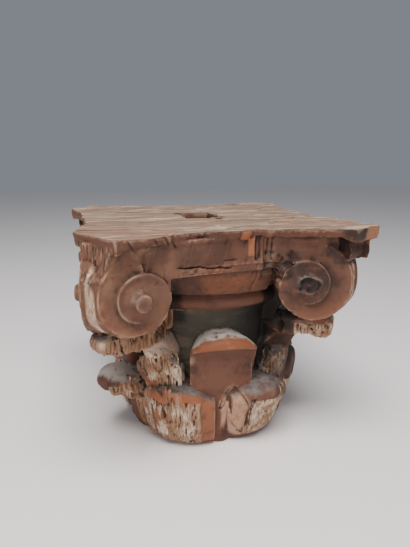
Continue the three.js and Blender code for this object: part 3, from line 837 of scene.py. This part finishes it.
# The open top has long grain ridges and shallow steps where layers have split away.
grain = rough(place, (1, (90, 4.6, 60), 3), (0.6, (150, 12, 60), 4))
lost = smooth(0.02, 0.12, lump(place, (130, 26, 60), 5)) + smooth(0.3, 0.38, lump(place, (70, 15, 60), 25))
push -= where["top"] * (0.3 + 1.1 * np.abs(grain) + 1.5 * lost)
push += where["slab_edge"] * rough(place, (1.1, (15, 15, 8), 6), (0.55, (4.5, 4.5, 6), 7))
nicks = smooth(0.2, 0.4, lump(slanted(0.6), (3.6, 60, 40), 26))
push -= where["slab_edge"] * nicks * within(x, -150, -70, 8) * (y < -150) * 1.5
# Torn faces: crested strands, chunks broken off at different depths, and narrow slots between them.
torn_depth = 0.9 * strands(4.4, 48, 8) + 0.7 * strands(3.2, 20, 9) + 2.4 * lump(place, (18, 18, 30), 27)
torn_depth -= 3.0 * smooth(0.5, 0.75, lump(bent, (4.4, 4.4, 26), 10))
torn_depth -= 2.4 * smooth(0.1, 0.22, lump(bent, (12, 12, 36), 35))
push += where["torn"] * torn_depth
push += where["midrib"] * (2.5 + 0.5 * strands(5, 70, 28))
push += where["strip"] * (0.5 * strands(6, 60, 11) - 2.0 * smooth(0.45, 0.7, lump(place, (7, 7, 12), 29)))
push += where["horn"] * (0.9 * strands(3.4, 120, 13, place) + 1.1 * lump(place, (9, 9, 80), 14))
worn_bell = 0.3 * lump(place, (60, 60, 5), 12) + 0.4 * smooth(0.3, 0.6, lump(place, (10, 10, 14), 30))
push += where["bell"] * worn_bell
# The front band has lost a strip beside the right volute, and its boards have opened along the joints.
ruin = area(where, x=(44, 78, 7), z=(262, 298, 7), y=(-999, -120, 0))
push -= ruin * (3.0 + rough(place, (3.0, 9, 16), (1.5, 4.5, 17)))
fascia = where["front"] * within(x, -125, 110, 10) * (z > 270)
push -= fascia * 0.7 * smooth(0.35, 0.6, lump(slanted(-0.25), (3.2, 60, 22), 38))
crack = 286 - 0.09 * (x + 60) + 1.6 * lump(np.column_stack([x, 0 * x, 0 * x]), 16, 39)
push -= fascia * 2.6 * within(z, crack - 0.5, crack + 0.5, 0.9) * within(x, -78, -12, 10)
# The open joints: where each is, half its width, its foot and head, and how deep it goes.
JOINTS = [
    (29.5, 1.6, 290, 322, 5), (34.5, 1.4, 292, 322, 4), (40, 0.8, 288, 320, 1.6), (52, 0.8, 290, 320, 1.5),
    (45, 0.7, 296, 322, 1.4), (-8, 9, 291.6, 292.6, 1.6),
]
for at, wide, foot, head, deep in JOINTS:
    push -= fascia * deep * within(x, at - wide, at + wide, 1.2) * within(z, foot, head, 1.5)
# Two new breaks stand proud: left, right, foot, head, how far up they are bare, and how proud.
BAND_BREAKS = [(5, 18, 319, 333, 331, 1.5), (17, 26, 296, 319, 319, 1.2)]
for left, right, foot, head, _, proud in BAND_BREAKS:
    push += fascia * proud * within(x, left, right, 0.8) * within(z, foot, head, 1)
crumbled = fascia * area(where, x=(-70, -20, 8), z=(274, 288, 4))
push -= crumbled * (1.0 + 1.8 * lump(place, (6, 6, 5), 18))
# A glue joint crosses the lip, and past it the lip is broken off short of the volute.
push -= where["lip"] * (z > 236) * 1.6 * within(azimuth, 12.1, 12.7, 0.4)
push -= where["lip"] * (z > 234) * 4 * within(azimuth, 26.5, 60, 0.8)
# A lobe of the front right leaf is broken to a flat facet, with a slot beside it.
LOBE = {"azimuth": 2.5, "top": 96, "narrowing": 0.55}
lobe_top = LOBE["top"] - LOBE["narrowing"] * (azimuth - LOBE["azimuth"]) ** 2
facet = within(azimuth, -6, 9.5, 1) * within(z, 14, lobe_top, 2) * (radius > 134)
push -= facet * (3.0 + 0.5 * lump(place, (7, 7, 9), 19))
push -= area(where, azimuth=(10.8, 13, 1), z=(30, 78, 6), radius=(130, 999, 0)) * 6
# The right volute's eye is broken out, and the hollow has ragged edges.
EYE = on_face(CORNERS[1], -1, 3, VOLUTE["step"], 1)
EYE_SHAPE = (0.8, 0.8, 1.15)


def from_lost_eye(points, ragged):
    return np.linalg.norm((points - EYE) * EYE_SHAPE, axis=1) + ragged * lump(points, 8, 21)


broken_eye = 1 - smooth(10.5, 13, from_lost_eye(place, 3.2))
push -= broken_eye * (2.0 + 3.0 * lump(place, 6, 20))
place = place + normal * push[:, None]
place[:, 2] = np.clip(place[:, 2], 0, HEIGHT)
block.data.vertices.foreach_set("co", (place * MM).ravel())
block.data.update()

# Hollows are darkened with dirt and painted shade, and edges wear bare, so how deep each place lies among its
# neighbours is kept.
mesh = block.data
place, normal = read_points(mesh)


def relief(rounds):
    """How far each point stands out from its surroundings, in millimetres."""
    eased = place
    for _ in range(rounds):
        eased = neighbour_mean(eased)
    return ((place - eased) * normal).sum(axis=1)


fine, broad = relief(4), relief(30)
add_layer(mesh, "fine_relief", fine)
add_layer(mesh, "broad_relief", broad)

# The mesh is thinned where it is flat, to keep the piece light.
MOST_TRIANGLES = 194000
mesh.calc_loop_triangles()
thin = block.modifiers.new("thin", "DECIMATE")
thin.ratio = MOST_TRIANGLES / len(mesh.loop_triangles)
baked(block)
mesh = block.data

# What is left of the finish is laid down as layers: bole, soot-green paint, gesso, dust and fresh breaks.
place, normal = read_points(mesh)
where = fields(place, normal)
x, y, z = place.T
azimuth, radius, front, face = where["azimuth"], where["radius"], where["front"], where["face"]
upward = smooth(0.35, 0.8, normal[:, 2]) * (1 - where["top"])
right_face = face * (x > 40)
from_eye = np.linalg.norm(place - EYE, axis=1)
eye_out, eye_up = (x - EYE[0]) / np.maximum(from_eye, 1), (z - EYE[2]) / np.maximum(from_eye, 1)
left_eye = on_face(CORNERS[0], 1, 0, VOLUTE["step"], 0)
from_left = np.linalg.norm(place - left_eye, axis=1)
left_upper = ((z - left_eye[2]) * 0.8 - (x - left_eye[0]) * 0.6) / np.maximum(from_left, 1)
fascia = front * within(x, -125, 110, 10) * (z > 268)

# Bare red wood shows where pieces broke off: the tongue's tip, the leaf's brink, the horn and the band.
tongue_edge = 175 + 2.2 * lump(place, (7, 7, 7), 43)
tongue_break = area(where, azimuth=(-21, 13, 1), radius=(145, 158, 1.5)) * within(z, 157, tongue_edge, 1)
brink = 77 + 3.5 * lump(place, (9, 9, 9), 41)
leaf_break = within(azimuth, -50, -18, 3) * within(z, brink, 99, 2) * (radius > 144) * (1 - upward)
horn_end = area(where, x=(178, 215, 2), y=(-200, -150, 4), z=(308, 999, 0)) * where["sideways"]
fresh = most(tongue_break, 0.75 * leaf_break, 0.55 * horn_end)
for left, right, foot, _, head, _ in BAND_BREAKS:
    fresh = most(fresh, front * within(x, left, right, 0.6) * within(z, foot, head, 0.6))
# Redder paint is left on the lip, beside the rib, on the smooth parts of the leaf and under the coils.
terracotta = most(
    0.9 * where["lip"] * area(where, azimuth=(-15, 12.2, 3), z=(240, 270, 3)),
    area(where, azimuth=(-16, -9, 2), z=(2, 78, 4), radius=(118, 999, 0)),
    0.3 * where["margin"] + 0.7 * where["midrib"],
    0.35 * face * (1 - smooth(205, 250, z)),
)
# Painted shade: the right side of the bell and the hollows behind the two front volutes are darkened to near
# black.
painted_shade = most(
    where["bell"] * smooth(-8, 24, azimuth) * (azimuth < 100) * (z > 100) * 0.9,
    0.9 * area(where, radius=(0, 172, 0), azimuth=(27, 60, 1.5), z=(180, 272, 4)),
    0.8 * area(where, azimuth=(-70, -31, 4), radius=(100, 150, 4), z=(190, 272, 3)),
)
broken_right = 1 - smooth(16, 46, from_eye)
rotten = 1 - smooth(10.5, 13.5, from_lost_eye(place, 3.2))
# Pale chalk is painted as highlight on the ledges over both eyes, and lies as real chalky dust on the tongue,
# on the curled leaf and down the margin.
lost_eye_highlight = 0.5 * within(from_lost_eye(place, 1.2), 12, 15, 1) * smooth(-0.1, 0.5, eye_up) * (1 - rotten)
left_eye_highlight = 0.22 * within(from_left, 13, 15.5, 1) * smooth(0.3, 0.8, left_upper)
tongue_dust = area(where, azimuth=(-22, 14, 1), z=(158, 216, 2), radius=(0, 160, 0)) * (1 - fresh)
chalk_and_highlight = most(
    most(lost_eye_highlight, left_eye_highlight) * face,
    0.9 * upward * tongue_dust,
    0.45 * where["margin"],
    0.6 * upward * area(where, azimuth=(-93, -56, 2), z=(60, 112, 3)),
)
# Painted shade falls on the strip under the right horn; the horn's face above it is darkened too.
under_horn = area(where, x=(138, 215, 4), y=(-999, -140, 0), z=(282, 307, 3)) * where["sideways"]
horn_dark = area(where, x=(128, 177, 4), y=(-999, -140, 0), z=(300, 331, 3)) * where["sideways"]
coil_shade = within(from_eye, 19, 33, 2) * smooth(0.2, 0.7, (eye_up + eye_out) * 0.7)
# Painted shade darkens these: the band under the slab, the lip, the leaf tops, the volutes and the horn.
shade_patches = most(
    0.45 * fascia * area(where, x=(-80, -15, 14), z=(288, 318, 3)),
    where["lip"] * (0.36 + 0.06 * (azimuth < -16)) * (azimuth < 14) * (z > 236),
    0.5 * upward * within(azimuth, -56, 46, 3) * (z < 120),
    0.45 * (1 - smooth(26, 60, from_eye)) * right_face,
    0.5 * (1 - smooth(11, 13, from_left)) * face,
    0.36 * tongue_break,
    0.3 * front * area(where, x=(-152, -100, 12), z=(298, 322, 4)),
    0.2 * (1 - smooth(38, 42, from_left)) * face,
    0.6 * where["dull"],
    0.6 * area(where, azimuth=(44, 92, 2), z=(86, 124, 3), y=FRONT_HALF),
    0.6 * under_horn,
    0.5 * horn_dark,
)
# Smudges on the front of the right volute. The darker bole layer built from them also holds the dark horn
# face and painted shade round the lost eye.
smudge_and_shade = front * area(where, x=(62, 150, 12), z=(245, 298, 8)) * smooth(-0.25, 0.3, lump(place, 11, 42))
mottled = front * area(where, x=(38, 92, 8), z=(266, 300, 5)) * smooth(-0.2, 0.35, lump(place, 8, 44))
# Edges don't wear pale where they are new, under painted shade or out of reach.
sheltered = most(
    0.75 * fresh, 0.75 * rotten, painted_shade, 0.75 * broken_right, 0.65 * fascia * (z < 318), 0.8 * under_horn,
    0.7 * where["lip"], 0.9 * within(z, 194, 218, 2) * (radius < 136),
)
lobe_top = LOBE["top"] - LOBE["narrowing"] * (azimuth - LOBE["azimuth"]) ** 2
lobe = within(azimuth, -3.5, 9.5, 1) * within(z, 12, lobe_top, 2) * (radius > 130)
# The volutes' backs are bare ground, but for the top of the front ones.
ground = where["strip"] * (1 - (x > 0) * (y < 0) * smooth(276, 284, z))
ground = ground * (1 - (x < 0) * (y < 0) * smooth(288, 300, z))
ground = ground * smooth(-0.5, 0.1, lump(place, (12, 12, 40), 40))
layers = {
    "painted_shade": painted_shade,
    "shade_patches": shade_patches,
    "chalk_and_highlight": chalk_and_highlight,
    "sheltered": sheltered,
    "reddened": where["top"] * area(where, x=(-215, -95, 35), y=(-225, -150, 25)),
    "rotten": rotten,
    "smudge_and_shade": most(smudge_and_shade, horn_dark, coil_shade * right_face, 0.8 * broken_right),
    "splintered": where["horn"],
    "weathered": where["top"],
    "soot": most(where["bell"] * (z < 209), 0.6 * mottled),
    "warm": face * smooth(34, 56, from_left) * (x < left_eye[0] + 12) * (y < -100),
    "bare_fibre": within(azimuth, -75, -28, 3) * smooth(166, 176, z)
    + 0.7 * within(azimuth, -93, -62, 2) * (z < 112),
    "gesso": where["torn"],
    "ground": ground,
    "dust": upward * (z < 216),
    "fresh": fresh,
    "terracotta": terracotta,
    "tan": most(lobe, 0.85 * where["margin"], 0.8 * horn_end),
    "pale": face * (1 - 0.85 * broken_right) * (1 - 0.6 * (x > 60) * (y < 0)),
}
for name, values in layers.items():
    add_layer(mesh, name, values)

carved_wood.use_nodes = True
shader = carved_wood.node_tree
own_place = add_node(shader, "ShaderNodeTexCoord").outputs["Object"]


def attribute(name):
    return add_node(shader, "ShaderNodeAttribute", attribute_name=name).outputs["Fac"]


def speckle(scale, stretch=(1, 1, 1), detail=4.0, roughness=0.6):
    """Noise on the piece's own coordinates. scale is in lumps to the metre."""
    stretched = add_node(shader, "ShaderNodeMapping", {"Vector": own_place, "Scale": stretch})
    return add_node(shader, "ShaderNodeTexNoise", {
        "Vector": stretched.outputs[0], "Scale": scale, "Detail": detail, "Roughness": roughness,
    }).outputs["Fac"]


def worked_out(operation, first, *others):
    for other in others:
        node = add_node(shader, "ShaderNodeMath", {0: first, 1: other}, operation=operation)
        first = node.outputs[0]
    return first


def times(*values):
    return worked_out("MULTIPLY", *values)


def plus(*values):
    return worked_out("ADD", *values)


def ramp(value, low, high):
    """0 below low, 1 above high."""
    return add_node(shader, "ShaderNodeMapRange", {
        "Value": value, "From Min": low, "From Max": high,
    }, interpolation_type="SMOOTHSTEP").outputs[0]


def patchy(name, scale, low, high, stretch=(1, 1, 1), detail=6):
    """A layer broken up into patches."""
    return times(attribute(name), ramp(speckle(scale, stretch, detail), low, high))


def coats(colour, *laid_over):
    """Lays colours over one another, each where its cover is 1."""
    for over, cover in laid_over:
        inputs = {"Factor": cover, "A": colour, "B": over}
        colour = add_node(shader, "ShaderNodeMix", inputs, data_type="RGBA").outputs["Result"]
    return colour


BOLE = (0.135, 0.056, 0.034, 1)
BOLE_DARK = (0.060, 0.026, 0.018, 1)
WORN_BOLE = (0.19, 0.092, 0.056, 1)
ROTTEN = (0.038, 0.02, 0.018, 1)
TERRACOTTA = (0.25, 0.088, 0.04, 1)
EDGE_WEAR = (0.36, 0.23, 0.155, 1)
SOOT_GREEN = (0.064, 0.057, 0.041, 1)
SOOT_BROWN = (0.17, 0.125, 0.09, 1)
SHADE_BLACK = (0.010, 0.009, 0.008, 1)
GESSO = (0.72, 0.56, 0.42, 1)
OLD_GESSO = (0.42, 0.28, 0.185, 1)
OCHRE = (0.33, 0.175, 0.095, 1)
SPLIT_WOOD = (0.11, 0.06, 0.036, 1)
TAN = (0.42, 0.235, 0.15, 1)
BARE_TOP = (0.235, 0.14, 0.09, 1)
BARE_TOP_PALE = (0.46, 0.355, 0.275, 1)
BARE_TOP_DARK = (0.075, 0.036, 0.022, 1)
FRESH_BREAK = (0.36, 0.105, 0.035, 1)
DUST = (0.22, 0.185, 0.17, 1)
CHALK_AND_HIGHLIGHT = (0.45, 0.385, 0.335, 1)
REDDENED = (0.25, 0.13, 0.082, 1)
DIRT_AND_SHADE = (0.016, 0.011, 0.009, 1)

fine, broad = attribute("fine_relief"), attribute("broad_relief")
fibre = speckle(380, (1, 1, 0.13), detail=5)
height = times(fine, 0.07)
raised = plus(fibre, height)
brown_streaks = ramp(speckle(30, (0.6, 0.6, 2.2), detail=7), 0.46, 0.7)
soot = coats(SOOT_GREEN, (SOOT_BROWN, times(brown_streaks, 0.7)))
bare_top = coats(
    BARE_TOP,
    (BARE_TOP_PALE, ramp(speckle(60, (0.14, 2.6, 1), detail=8, roughness=0.7), 0.47, 0.64)),
    (BARE_TOP_DARK, ramp(speckle(60, (0.1, 3.4, 1), detail=8, roughness=0.72), 0.5, 0.64)),
    (BARE_TOP_PALE, ramp(speckle(14, (0.35, 1.5, 1), detail=6, roughness=0.75), 0.56, 0.68)),
    (REDDENED, patchy("reddened", 40, 0.36, 0.56, (0.3, 1.6, 1))),
)
# Gesso is left on the strands that stand out.
left_gesso = plus(
    times(speckle(36), 0.9), height, times(speckle(150, (1, 1, 0.2), detail=5), 0.5), times(fibre, 0.7),
    times(attribute("bare_fibre"), -0.22),
)
torn_wood = coats(
    SPLIT_WOOD,
    (OCHRE, ramp(raised, 0.36, 0.52)),
    (TERRACOTTA, times(ramp(speckle(30), 0.5, 0.62), 0.7)),
    (OLD_GESSO, ramp(left_gesso, 1.0, 1.12)),
    (GESSO, ramp(left_gesso, 1.08, 1.26)),
)
splinters = coats(
    BOLE_DARK,
    (WORN_BOLE, ramp(raised, 0.38, 0.6)),
    (OCHRE, ramp(speckle(260, (1, 1, 0.08)), 0.55, 0.68)),
    (TERRACOTTA, times(ramp(speckle(60, (1, 1, 0.3)), 0.54, 0.66), 0.6)),
)
ground = coats(
    GESSO,
    (OLD_GESSO, ramp(speckle(70, (1, 1, 0.4), detail=6), 0.42, 0.6)),
    (OCHRE, ramp(speckle(150, (1, 1, 0.4), detail=5), 0.52, 0.62)),
)
red_all_over = times(ramp(speckle(34, detail=6), 0.52, 0.7), 0.4)
red_left = times(plus(attribute("terracotta"), red_all_over), ramp(speckle(110, detail=5), 0.25, 0.55))
out_of_shelter = plus(1.0, times(attribute("sheltered"), -1.0))
edges = times(ramp(fine, 0.2, 0.7), ramp(speckle(60, detail=5), 0.36, 0.6), out_of_shelter, 0.75)
colour = coats(
    BOLE,
    (BOLE_DARK, ramp(speckle(26, detail=5), 0.5, 0.72)),
    (WORN_BOLE, patchy("pale", 38, 0.3, 0.66)),
    (TERRACOTTA, red_left),
    (soot, attribute("soot")),
    # Near-black painted shade over the bell's right side and behind the front volutes.
    (SHADE_BLACK, attribute("painted_shade")),
    (OCHRE, times(patchy("warm", 48, 0.4, 0.62), 0.55)),
    # Darker bole: smudges, and painted shade round the right volute's lost eye.
    (BOLE_DARK, patchy("smudge_and_shade", 75, 0.36, 0.56)),
    (ROTTEN, attribute("rotten")),
    (coats(TAN, (OCHRE, ramp(speckle(160, detail=6), 0.5, 0.65))), attribute("tan")),
    (bare_top, attribute("weathered")),
    (torn_wood, ramp(attribute("gesso"), 0.15, 0.6)),
    (splinters, attribute("splintered")),
    (ground, attribute("ground")),
    (DUST, patchy("dust", 90, 0.25, 0.6, detail=4)),
    # Pale chalk: real dust, and painted highlight on the ledges over the eyes.
    (CHALK_AND_HIGHLIGHT, patchy("chalk_and_highlight", 90, 0.3, 0.5)),
    (coats(FRESH_BREAK, (TERRACOTTA, speckle(200))), attribute("fresh")),
    (EDGE_WEAR, edges),
    # Dirt and painted shade darken the hollows, fine and broad.
    (DIRT_AND_SHADE, times(ramp(times(fine, -1.0), 0.1, 0.9), 0.75)),
    (DIRT_AND_SHADE, times(ramp(times(broad, -1.0), 0.8, 5.0), 0.45)),
    # Painted shade patches, laid in the dirt colour.
    (DIRT_AND_SHADE, patchy("shade_patches", 75, 0.2, 0.5)),
)
dullness = add_node(shader, "ShaderNodeMapRange", {"Value": speckle(80), "To Min": 0.5, "To Max": 0.85})
grit = {"Strength": 0.5, "Distance": 0.0006, "Height": speckle(420, detail=6)}
# Fibres too fine for the mesh are raised along the grain: upright where torn, lengthways on the top.
frayed = worked_out("MINIMUM", plus(attribute("gesso"), attribute("splintered")), 1.0)
top_lines = times(speckle(300, (0.07, 1, 1), detail=5), attribute("weathered"))
raised_lines = add_node(shader, "ShaderNodeBump", {
    "Strength": 0.8, "Distance": 0.003, "Height": plus(times(fibre, frayed), top_lines),
    "Normal": add_node(shader, "ShaderNodeBump", grit).outputs[0],
})
surface = shader.nodes["Principled BSDF"]
surface.inputs["Specular IOR Level"].default_value = 0.3
shader.links.new(colour, surface.inputs["Base Color"])
shader.links.new(dullness.outputs[0], surface.inputs["Roughness"])
shader.links.new(raised_lines.outputs[0], surface.inputs["Normal"])

mesh.materials.clear()
mesh.materials.append(carved_wood)
mesh.polygons.foreach_set("material_index", np.zeros(len(mesh.polygons), np.int32))
mesh.polygons.foreach_set("use_smooth", np.ones(len(mesh.polygons), bool))
mesh.set_sharp_from_angle(angle=math.radians(50))
mesh.update()
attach(block, "root")
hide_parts("capital")

# The capital stands on a plain pale floor under soft studio light from above.
floor_colour = bpy.data.materials.new("studio_floor")
floor_colour.use_nodes = True
paint = floor_colour.node_tree.nodes["Principled BSDF"].inputs
paint["Base Color"].default_value = (0.93, 0.87, 0.84, 1)
paint["Roughness"].default_value = 0.6
floor = bpy.data.objects.new("studio_floor", bpy.data.meshes.new("studio_floor"))
FLOOR_REACH = 6
sides = ((-1, -1), (1, -1), (1, 1), (-1, 1))
floor.data.from_pydata([(FLOOR_REACH * a, FLOOR_REACH * b, 0) for a, b in sides], [], [(0, 1, 2, 3)])
floor.data.materials.append(floor_colour)
bpy.context.scene.collection.objects.link(floor)

world = bpy.data.worlds.new("studio")
bpy.context.scene.world = world
world.use_nodes = True
sky = world.node_tree.nodes["Background"].inputs
sky["Color"].default_value = (0.60, 0.65, 0.74, 1)
sky["Strength"].default_value = 0.36


def softbox(name, place, size, power, aim):
    light = bpy.data.objects.new(name, bpy.data.lights.new(name, "AREA"))
    light.data.shape = "RECTANGLE"
    light.data.size, light.data.size_y, light.data.energy = *size, power
    light.location = place
    back = Vector(place) - Vector(aim)
    light.rotation_mode = "QUATERNION"
    light.rotation_quaternion = back.to_track_quat("Z", "Y")
    bpy.context.scene.collection.objects.link(light)


softbox("overhead", (-0.3, -0.9, 2.2), (1.5, 1.2), 82, (0, 0, 0.2))
softbox("front_fill", (-1.2, -2.4, 1.2), (1.4, 1.2), 15, (0, 0, 0.2))
